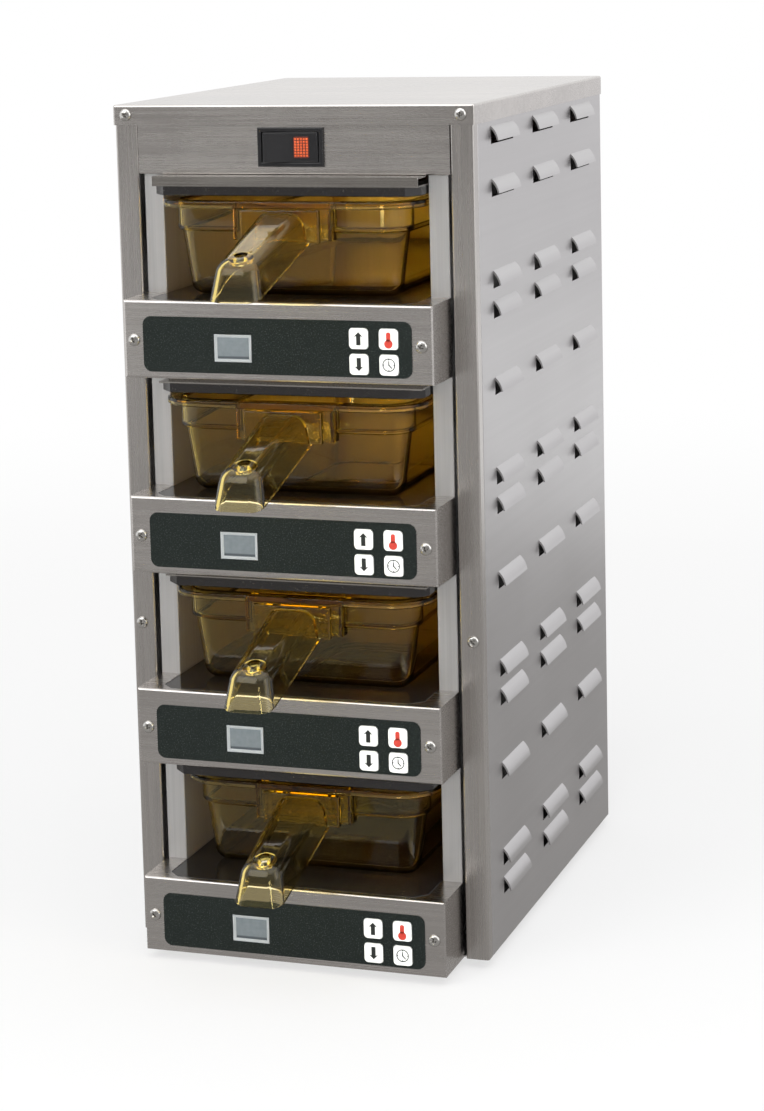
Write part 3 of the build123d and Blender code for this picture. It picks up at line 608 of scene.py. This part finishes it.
def handle_shell(made):
    """The handle's outside, open underneath and at its root, before its wall is given."""
    root = [(-15.5, 0.5, 55.7), (15.5, 0.5, 55.7), (18.7, 0.5, 35.5), (-18.7, 0.5, 35.5)]
    end_top = [(-12.5, -81.0, 32.7), (12.5, -81.0, 32.7)]
    end_foot = [(-16.3, -HANDLE_REACH, 8.8), (16.3, -HANDLE_REACH, 8.8)]
    face = made.faces.new([made.verts.new(Vector(place) * MM) for place in root])
    grown = bmesh.ops.extrude_face_region(made, geom=[face])["geom"]
    far = next(part for part in grown if isinstance(part, bmesh.types.BMFace))
    from_top_left = sorted(far.verts, key=lambda vert: (-vert.co.z, vert.co.x))
    for vert, place in zip(from_top_left, end_top + end_foot):
        vert.co = Vector(place) * MM
    bmesh.ops.recalc_face_normals(made, faces=made.faces[:])
    open_faces = [face for face in made.faces if face.normal.z < -0.8 or face.normal.y > 0.9]
    bmesh.ops.delete(made, geom=open_faces, context="FACES")
    round_off(made, [edge for edge in made.edges if len(edge.link_faces) == 2], 7.6, 8)


def hang_hole(made):
    bmesh.ops.create_cone(
        made, cap_ends=True, segments=32, radius1=4.2 * MM, radius2=4.2 * MM, depth=30.0 * MM,
        matrix=Matrix.Translation((0.0, HANG_HOLE_AT * MM, 35.0 * MM)),
    )


def hole_collar(made):
    """The thicker ring round the hang hole, which leans with the handle's top."""
    lean = Matrix.Rotation(math.radians(15.8), 4, "X")
    bmesh.ops.create_cone(
        made, cap_ends=True, segments=40, radius1=7.4 * MM, radius2=7.4 * MM, depth=4.0 * MM,
        matrix=Matrix.Translation((0.0, HANG_HOLE_AT * MM, 33.4 * MM)) @ lean,
    )


def plain_object(name, mesh_maker):
    """A working object that is joined into another and then removed."""
    made = bmesh.new()
    mesh_maker(made)
    bmesh.ops.recalc_face_normals(made, faces=made.faces[:])
    mesh = bpy.data.meshes.new(name)
    made.to_mesh(mesh)
    made.free()
    work = bpy.data.objects.new(name, mesh)
    bpy.context.scene.collection.objects.link(work)
    return work


def finished_mesh(work):
    """The object's mesh with its modifiers applied."""
    bpy.context.view_layer.update()
    applied = work.evaluated_get(bpy.context.evaluated_depsgraph_get())
    return bpy.data.meshes.new_from_object(applied)


pan_work = plain_object("pan work", pan_shell)
handle_work = plain_object("handle work", handle_shell)
wall = handle_work.modifiers.new("wall", "SOLIDIFY")
wall.thickness, wall.offset, wall.use_even_offset = HANDLE_WALL * MM, -1.0, True
joins = [
    ("UNION", plain_object("boss work", pan_boss)),
    ("DIFFERENCE", plain_object("boss hollow", boss_hollow)),
    ("UNION", plain_object("wing work", pan_wing)),
    ("UNION", handle_work),
    ("UNION", plain_object("collar work", hole_collar)),
    ("DIFFERENCE", plain_object("hole work", hang_hole)),
]
for operation, other in joins:
    join = pan_work.modifiers.new(operation.lower(), "BOOLEAN")
    join.operation, join.object, join.solver = operation, other, "EXACT"
pan_mesh = finished_mesh(pan_work)
for work in [pan_work, *[other for _, other in joins]]:
    bpy.data.objects.remove(work)
pan_mesh.polygons.foreach_set("use_smooth", [True] * len(pan_mesh.polygons))
pan_mesh.set_sharp_from_angle(angle=math.radians(38.0))
pan_mesh.materials.clear()
pan_mesh.materials.append(amber.material)
for slot in SLOTS:
    pan_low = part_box(f"pan_{slot}")[0]
    mesh = pan_mesh.copy()
    mesh.transform(Matrix.Translation((0.0, pan_low.y + HANDLE_REACH * MM, pan_low.z)))
    place_piece(f"amber_pan_{slot}", mesh, f"pan_{slot}", (f"pan_{slot}",))

# Main switch: a glossy black rocker key in a frame that snaps into the header panel, both
# moulded plastic. A red lamp lens with a grid of small pads is let into the key's right half.
black_plastic = Finish("switch plastic", (0.01, 0.01, 0.011), Roughness=0.16)
black_mould = black_plastic.grain((800.0, 800.0, 800.0), 2.0)
black_plastic.set(
    {
        "Roughness": black_mould * 0.14 + 0.1,
        "Base Color": black_plastic.mix(black_mould, (0.008, 0.008, 0.009), (0.014, 0.014, 0.015)),
    }
)
black_plastic.bump(black_mould, 0.06, 0.0001)
SWITCH_BODY = (40.0, 21.8)
SWITCH_FLANGE = (44.3, 25.0)
SWITCH_FLANGE_THICK = 1.4
SWITCH_DEPTH = 20.0
SWITCH_WELL = [(0.3, 0.6), (2.3, 0.0), (0.3, -0.4), (0.0, -12.0)]
BLADE_HALF_WIDTH, BLADE_HALF_THICK = 3.15, 0.4
front_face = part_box("header_panel")[0].y
switch_low, switch_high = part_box("switch_housing")
switch_z = (switch_low.z + switch_high.z) / 2


def switch_frame(made):
    """A housing with three blades behind, and a flange in front with the well for the key."""
    solid_from(made, rounded_face(made, *SWITCH_BODY, 0.6, 2), SWITCH_DEPTH)
    flange = rounded_face(made, *SWITCH_FLANGE, 0.0)
    bmesh.ops.translate(made, vec=(0.0, 0.0, SWITCH_DEPTH * MM), verts=flange.verts[:])
    stepped(made, solid_from(made, flange, SWITCH_FLANGE_THICK), SWITCH_WELL)
    for x in (-12.0, 0.0, 12.0):
        across = (x - BLADE_HALF_WIDTH, x + BLADE_HALF_WIDTH)
        box_part(made, across, (-BLADE_HALF_THICK, BLADE_HALF_THICK), (-8.0, 0.5))
    to_front(made, 0.0, front_face + SWITCH_DEPTH * MM, switch_z)


new_piece(
    "switch_frame", switch_frame, [black_plastic.material], "cabinet", ("switch_housing",),
    bevel=0.25,
)

ROCKER_HALF, ROCKER_RISE, ROCKER_WIDTH = 17.8, 2.4, 18.9
ROCKER_LEAN = math.atan2(ROCKER_RISE, ROCKER_HALF)
rocker_middle = front_face - 2.2 * MM
pivot = Vector((0.0, front_face + 3.0 * MM, 0.0))
tipped = (
    Matrix.Translation(pivot) @ Matrix.Rotation(ROCKER_LEAN, 4, "Z") @ Matrix.Translation(-pivot)
)


def rocker(made):
    """The key, drawn level from above as a shallow V, then tipped about its pivot."""
    left_front = [(-ROCKER_HALF, -ROCKER_RISE), (-9.0, -1.05)]
    right_front = [(-x, y) for x, y in reversed(left_front)]
    rear = [(ROCKER_HALF, 1.2), (6.0, 9.2), (-6.0, 9.2), (-ROCKER_HALF, 1.2)]
    outline = [*left_front, (0.0, 0.0), *right_front, *rear]
    low = switch_z - ROCKER_WIDTH / 2 * MM
    face = made.faces.new([made.verts.new((x * MM, rocker_middle + y * MM, low)) for x, y in outline])
    grown = bmesh.ops.extrude_face_region(made, geom=[face])["geom"]
    verts = [part for part in grown if isinstance(part, bmesh.types.BMVert)]
    bmesh.ops.translate(made, vec=(0.0, 0.0, ROCKER_WIDTH * MM), verts=verts)
    bmesh.ops.transform(made, matrix=tipped, verts=made.verts[:])


new_piece(
    "rocker_key_cap", rocker, [black_plastic.material], "rocker", ("rocker_key",),
    bevel=0.5,
)

lens_glow = Finish("lamp lens", (0.75, 0.12, 0.03), Roughness=0.2)
glow_spots = lens_glow.grain((420.0, 420.0, 420.0), 2.0)
lens_glow.set(
    {
        "Base Color": lens_glow.mix(glow_spots, (0.38, 0.045, 0.015), (0.66, 0.13, 0.04)),
        "Emission Color": lens_glow.mix(glow_spots, (0.45, 0.05, 0.015), (0.8, 0.16, 0.04)),
        "Emission Strength": 0.1,
    }
)
LENS = (10.5, 13.5)
LENS_AT = 7.0
LENS_THICK = 1.2
PAD = (1.35, 1.2)
PAD_PITCH = (1.95, 1.75)
PAD_COLUMNS, PAD_ROWS = 5, 7
PAD_FOOT = 1.29


def lamp_lens(made):
    """The lens: a dark red base with a grid of small pads."""
    top = solid_from(made, rounded_face(made, *LENS, 1.0, 3), LENS_THICK)
    stepped(made, top, [(0.15, 0.1)])
    for i in range(PAD_COLUMNS):
        for j in range(PAD_ROWS):
            pad_face = rounded_face(made, *PAD, 0.0)
            across = (i - (PAD_COLUMNS - 1) / 2) * PAD_PITCH[0] * MM
            up = (j - (PAD_ROWS - 1) / 2) * PAD_PITCH[1] * MM
            bmesh.ops.translate(made, vec=(across, up, PAD_FOOT * MM), verts=pad_face.verts[:])
            pad_face.material_index = 1
            pad_top = solid_from(made, pad_face, 0.1)
            stepped(made, pad_top, [(0.3, 0.08)])
            for face in {face for vert in pad_top.verts for face in vert.link_faces}:
                face.material_index = 1
    lens_y = rocker_middle - ROCKER_RISE * LENS_AT / ROCKER_HALF * MM + LENS_THICK * MM
    place = (
        tipped
        @ Matrix.Translation((LENS_AT * MM, lens_y, switch_z))
        @ Matrix.Rotation(-ROCKER_LEAN, 4, "Z")
        @ FACING_FRONT
    )
    bmesh.ops.transform(made, matrix=place, verts=made.verts[:])


dark_lens = Finish("lens base", (0.16, 0.02, 0.01), Roughness=0.3)
dark_spots = dark_lens.grain((500.0, 500.0, 500.0), 2.0)
dark_lens.set({"Base Color": dark_lens.mix(dark_spots, (0.05, 0.008, 0.005), (0.11, 0.016, 0.008))})
new_piece(
    "rocker_lamp_lens", lamp_lens, [dark_lens.material, lens_glow.material], "rocker",
    ("rocker_lens",),
)

# Screws: steel pan heads with a cross recess and a short shank, which hold the posts, cover,
# bezels and back panel. Each is turned a little further than the one before.
screw_metal = Finish("screw metal", (0.6, 0.59, 0.57), Metallic=1.0, Roughness=0.22)
turned = screw_metal.grain((900.0, 900.0, 900.0), 3.0)
screw_metal.set(
    {
        "Base Color": screw_metal.mix(turned, (0.5, 0.49, 0.47), (0.68, 0.67, 0.65)),
        "Roughness": turned * 0.22 + 0.1,
    }
)
SCREW_HEAD = [(0.0, 2.2), (1.6, 2.16), (2.7, 1.95), (3.5, 1.5), (3.9, 0.8), (4.0, 0.0)]
SCREW_SHANK = [(1.9, 0.0), (1.9, -6.0), (0.0, -6.0)]


def turned_solid(made, profile, steps, x=0.0, y=0.0):
    """A solid turned about an upright axis, from (radius, height) points in millimetres."""
    verts = [made.verts.new((x + radius * MM, y, height * MM)) for radius, height in profile]
    edges = [made.edges.new(pair) for pair in zip(verts, verts[1:])]
    bmesh.ops.spin(
        made, geom=verts + edges, cent=(x, y, 0), axis=(0, 0, 1), angle=2 * math.pi, steps=steps,
        use_merge=True,
    )


def screw_body(made):
    turned_solid(made, SCREW_HEAD + SCREW_SHANK, 24)
    bmesh.ops.remove_doubles(made, verts=made.verts[:], dist=1e-6)


def cross_recess(made):
    for turn in (0.0, 90.0):
        arm = bmesh.ops.create_cone(
            made, cap_ends=True, segments=4, radius1=0.9 * MM, radius2=3.5 * MM, depth=2.4 * MM,
            matrix=Matrix.Rotation(math.radians(45.0), 4, "Z"),
        )["verts"]
        bmesh.ops.scale(made, vec=(1.0, 0.27, 1.0), verts=arm)
        crosswise = Matrix.Rotation(math.radians(turn), 3, "Z")
        bmesh.ops.rotate(made, verts=arm, cent=(0, 0, 0), matrix=crosswise)
        bmesh.ops.translate(made, vec=(0.0, 0.0, 1.7 * MM), verts=arm)


screw_work = plain_object("screw work", screw_body)
recess_work = plain_object("recess work", cross_recess)
cut = screw_work.modifiers.new("recess", "BOOLEAN")
cut.operation, cut.object, cut.solver, cut.use_self = "DIFFERENCE", recess_work, "EXACT", True
screw_mesh = finished_mesh(screw_work)
for work in (screw_work, recess_work):
    bpy.data.objects.remove(work)

bezel_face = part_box("bezel_1")[0].y
body_low, body_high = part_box("back_panel")
cover_sheet = 1.0 * MM
cover_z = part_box("top_cover")[1].z - 6.5 * MM
post_x, cover_x, back_x = [body_high.x - inset * MM for inset in (6.5, 8.0, 7.0)]
BEZEL_SCREW = (96.0, -25.5)
POST_RISE = 211.0
BACK_RISES = (20.0, 190.0, 360.0, 530.0)
# Each place is x, y and z, and whether the screw is in the back
screw_places = []
for side in (-1, 1):
    screw_places.append((side * post_x, front_face, body_low.z + POST_RISE * MM, False))
    screw_places.append((side * cover_x, front_face - cover_sheet, cover_z, False))
    screw_places.append((side * cover_x, body_high.y + cover_sheet, cover_z, True))
    for slot in SLOTS:
        bezel_z = slot_floor[slot] + BEZEL_SCREW[1] * MM
        screw_places.append((side * BEZEL_SCREW[0] * MM, bezel_face, bezel_z, False))
    for rise in BACK_RISES:
        screw_places.append((side * back_x, body_high.y, body_low.z + rise * MM, True))


def all_screws(made):
    for number, (x, y, z, at_back) in enumerate(screw_places):
        before = len(made.verts)
        made.from_mesh(screw_mesh)
        made.verts.ensure_lookup_table()
        place = (
            Matrix.Translation((x, y, z))
            @ Matrix.Rotation(math.radians(-90.0 if at_back else 90.0), 4, "X")
            @ Matrix.Rotation(math.radians(37.0 * number), 4, "Z")
        )
        bmesh.ops.transform(made, matrix=place, verts=made.verts[before:])


new_piece(
    "pan_head_screws", all_screws, [screw_metal.material], "cabinet", ("panel_screws",),
)

# Feet: tapered black rubber pads, moulded with a rounded edge and a ring to stand on, and
# pushed into the base pan by their stems
rubber = Finish("foot rubber", (0.022, 0.022, 0.023), Roughness=0.75)
pores = rubber.grain((600.0, 600.0, 600.0), 3.0)
rubber.set({"Base Color": rubber.mix(pores, (0.016, 0.016, 0.017), (0.035, 0.035, 0.036))})
rubber.bump(pores, 0.3, 0.0002)
FOOT_UNDER = [(0.0, 0.6), (4.5, 0.6), (5.0, 0.0), (8.4, 0.0), (9.0, 0.5)]
FOOT_SIDE = [(10.8, 5.2), (10.9, 5.8), (10.6, 6.0)]
FOOT_STEM = [(3.5, 6.0), (3.5, 8.6), (3.1, 9.0), (0.0, 9.0)]
FOOT_INSET = 11.0
feet_low, feet_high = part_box("feet")


def rubber_feet(made):
    for x in (feet_low.x + FOOT_INSET * MM, feet_high.x - FOOT_INSET * MM):
        for y in (feet_low.y + FOOT_INSET * MM, feet_high.y - FOOT_INSET * MM):
            turned_solid(made, FOOT_UNDER + FOOT_SIDE + FOOT_STEM, 36, x, y)


new_piece("rubber_feet", rubber_feet, [rubber.material], "cabinet", ("feet",))

# Cord gland: black nylon, moulded, with a hexagon under a ribbed dome cap that is open through
# the middle. It is fixed in the back panel's hole, and carried over from the frame.
nylon = Finish("gland nylon", (0.02, 0.02, 0.021), Roughness=0.45)
nylon_mould = nylon.grain((700.0, 700.0, 700.0), 2.0)
nylon.set({"Base Color": nylon.mix(nylon_mould, (0.014, 0.014, 0.015), (0.03, 0.03, 0.032))})
nylon.bump(nylon_mould, 0.15, 0.0001)
finish_node("cord_gland", nylon.material)

# Studio: a pale floor in a white surround. The camera, metal and clear plastic see a white of
# its own on the floor: six tenths near the cabinet, and all of it from about two metres off.
floor_finish = Finish("studio floor", (0.86, 0.86, 0.86), Roughness=0.9)
seen = sum(
    floor_finish.node("ShaderNodeLightPath", output=f"Is {kind} Ray")
    for kind in ("Camera", "Glossy", "Transmission")
)
far = floor_finish.node("ShaderNodeVectorMath", {"operation": "LENGTH"}, {0: floor_finish.here}, output=1)
glow = floor_finish.node("ShaderNodeEmission", {}, {"Color": (1.0, 1.0, 1.0, 1.0)})
matt = Value(floor_finish, floor_finish.shader.outputs[0])
share = seen * (far.above(1.2, 0.9) * 0.4 + 0.6)
floor_finish.output(Surface=floor_finish.node("ShaderNodeMixShader", {}, {0: share, 1: matt, 2: glow}))
floor_made = bmesh.new()
bmesh.ops.create_circle(floor_made, cap_ends=True, radius=14.0, segments=64)
floor_mesh = bpy.data.meshes.new("studio floor")
floor_made.to_mesh(floor_mesh)
floor_made.free()
floor_mesh.materials.append(floor_finish.material)
floor = bpy.data.objects.new("studio_floor", floor_mesh)
bpy.context.scene.collection.objects.link(floor)

# The surround is white to the camera, metal and clear plastic, and lights the rest less
world = bpy.data.worlds.new("studio")
world.use_nodes = True
bpy.context.scene.world = world
world_tree = world.node_tree
background = world_tree.nodes["Background"]
path = world_tree.nodes.new("ShaderNodeLightPath")
any_seen = world_tree.nodes.new("ShaderNodeMath")
any_seen.operation = "ADD"
any_seen.use_clamp = True
mirrored_or_through = world_tree.nodes.new("ShaderNodeMath")
mirrored_or_through.operation = "ADD"
world_tree.links.new(path.outputs["Is Camera Ray"], any_seen.inputs[0])
world_tree.links.new(path.outputs["Is Glossy Ray"], mirrored_or_through.inputs[0])
world_tree.links.new(path.outputs["Is Transmission Ray"], mirrored_or_through.inputs[1])
world_tree.links.new(mirrored_or_through.outputs[0], any_seen.inputs[1])
strength = world_tree.nodes.new("ShaderNodeMapRange")
strength.inputs["To Min"].default_value = 0.55
strength.inputs["To Max"].default_value = 1.0
world_tree.links.new(any_seen.outputs[0], strength.inputs["Value"])
world_tree.links.new(strength.outputs[0], background.inputs["Strength"])
background.inputs["Color"].default_value = (1.0, 1.0, 1.0, 1.0)


# Lamps: a key above the front at the left, a low one in front that metal doesn't mirror, one
# overhead and one at the right
def soft_lamp(name, place, aim, size, watts, mirrored=True):
    data = bpy.data.lights.new(name, "AREA")
    data.shape, data.size, data.size_y, data.energy = "RECTANGLE", *size, watts
    lamp = bpy.data.objects.new(name, data)
    lamp.location, lamp.visible_glossy = place, mirrored
    lamp.rotation_euler = (Vector(aim) - Vector(place)).to_track_quat("-Z", "Y").to_euler()
    bpy.context.scene.collection.objects.link(lamp)


soft_lamp("key", (-1.2, -1.9, 1.9), (0.0, 0.0, 0.3), (1.6, 1.6), 19.0)
soft_lamp("low front", (0.3, -2.5, 0.42), (0.0, 0.1, 0.28), (0.7, 0.6), 46.0, mirrored=False)
soft_lamp("overhead", (0.3, -0.2, 2.6), (0.0, 0.0, 0.3), (3.0, 3.0), 30.0)
soft_lamp("right fill", (2.2, -0.8, 1.3), (0.0, 0.0, 0.3), (1.2, 1.6), 10.0)


# Grey cards that the camera doesn't see, for the metal and plastic to mirror: one in front,
# one behind the cabinet to its right, and one flat on the floor
def grey_card(name, width, height, place, turn, low_tone, high_tone, tilt=math.pi / 2):
    finish = Finish(name, (0.0, 0.0, 0.0), Roughness=0.9)
    rise = finish.along("Z").above(place[2], height * 0.4)
    finish.set({"Emission Color": finish.mix(rise, low_tone, high_tone), "Emission Strength": 1.0})
    made = bmesh.new()
    corners = bmesh.ops.create_grid(made, x_segments=1, y_segments=1, size=0.5)["verts"]
    bmesh.ops.scale(made, vec=(width, height, 1.0), verts=corners)
    placed = Matrix.Translation(place) @ Matrix.Rotation(turn, 4, "Z") @ Matrix.Rotation(tilt, 4, "X")
    bmesh.ops.transform(made, matrix=placed, verts=corners)
    mesh = bpy.data.meshes.new(name)
    made.to_mesh(mesh)
    made.free()
    mesh.materials.append(finish.material)
    card = bpy.data.objects.new(name, mesh)
    bpy.context.scene.collection.objects.link(card)
    card.visible_camera = card.visible_diffuse = card.visible_shadow = False
    card.visible_transmission = False


grey_card("front card", 7.0, 4.5, (0.0, -3.6, 1.4), math.pi, (0.22, 0.21, 0.2), (0.5, 0.49, 0.485))
grey_card("side card", 4.0, 1.3, (1.6, 3.2, 0.2), 0.0, (0.6, 0.59, 0.595), (0.9, 0.89, 0.9))
grey_card("floor card", 3.6, 4.0, (0.6, -0.8, 0.002), 0.0, (0.3, 0.29, 0.28), (0.4, 0.39, 0.38), tilt=0.0)

bpy.context.scene.view_settings.view_transform = "Standard"
